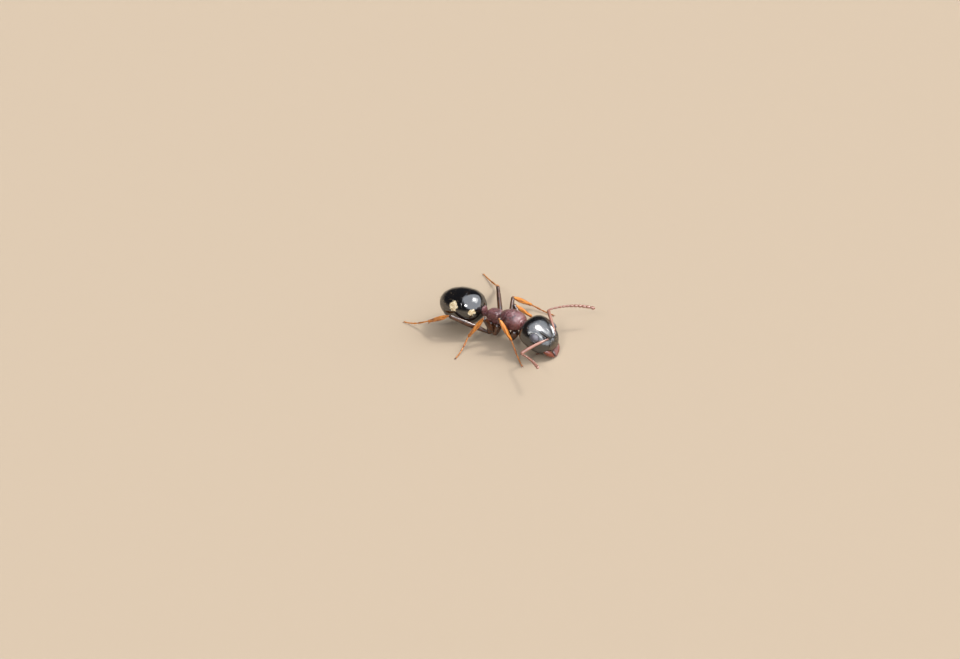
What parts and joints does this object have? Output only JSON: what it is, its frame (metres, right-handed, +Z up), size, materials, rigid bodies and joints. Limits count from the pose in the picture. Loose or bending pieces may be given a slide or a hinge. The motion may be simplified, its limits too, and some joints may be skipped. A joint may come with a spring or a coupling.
{
  "type": "four-spotted carpenter ant",
  "caption": "Life-size standing carpenter ant worker with a glossy black head and abdomen, cream spots, dark red trunk and amber legs, resting on its feet.",
  "frame": {"origin": "middle of the ground rectangle that the whole ant covers, at foot level", "axes": "+X along the trunk towards the head, +Y to the ant's left, +Z up"},
  "size_m": [0.0094, 0.0062, 0.002],
  "materials": {
    "black_shell": "mirror-glossy black shell, finely netted, with cream spots on the abdomen",
    "maroon_shell": "satin dark red shell with a netted texture",
    "dark_leg": "glossy dark brown",
    "amber_leg": "satin amber, slightly see-through at the edges",
    "antenna_brown": "satin red-brown",
    "mandible_red": "glossy dark red",
    "eye_grey": "finely faceted dark grey"
  },
  "bodies": {
    "root": {"head": "black_shell", "eye_left": "eye_grey", "mandible_left": "mandible_red", "antenna_left_scape": "antenna_brown", "antenna_left_flagellum": "antenna_brown", "eye_right": "eye_grey", "mandible_right": "mandible_red", "antenna_right_scape": "antenna_brown", "antenna_right_flagellum": "antenna_brown", "neck": "maroon_shell", "pronotum": "maroon_shell", "mesonotum": "maroon_shell", "propodeum": "maroon_shell", "petiole": "maroon_shell", "gaster_1": "black_shell", "gaster_2": "black_shell", "gaster_3": "black_shell", "gaster_4": "black_shell", "gaster_5": "black_shell", "leg_left_fore_coxa": "dark_leg", "leg_left_fore_femur": "dark_leg", "leg_left_fore_tibia": "amber_leg", "leg_left_fore_tarsus": "amber_leg", "leg_left_mid_coxa": "dark_leg", "leg_left_mid_femur": "dark_leg", "leg_left_mid_tibia": "amber_leg", "leg_left_mid_tarsus": "amber_leg", "leg_left_hind_coxa": "dark_leg", "leg_left_hind_femur": "dark_leg", "leg_left_hind_tibia": "amber_leg", "leg_left_hind_tarsus": "amber_leg", "leg_right_fore_coxa": "dark_leg", "leg_right_fore_femur": "dark_leg", "leg_right_fore_tibia": "amber_leg", "leg_right_fore_tarsus": "amber_leg", "leg_right_mid_coxa": "dark_leg", "leg_right_mid_femur": "dark_leg", "leg_right_mid_tibia": "amber_leg", "leg_right_mid_tarsus": "amber_leg", "leg_right_hind_coxa": "dark_leg", "leg_right_hind_femur": "dark_leg", "leg_right_hind_tibia": "amber_leg", "leg_right_hind_tarsus": "amber_leg"}
  },
  "joints": []
}
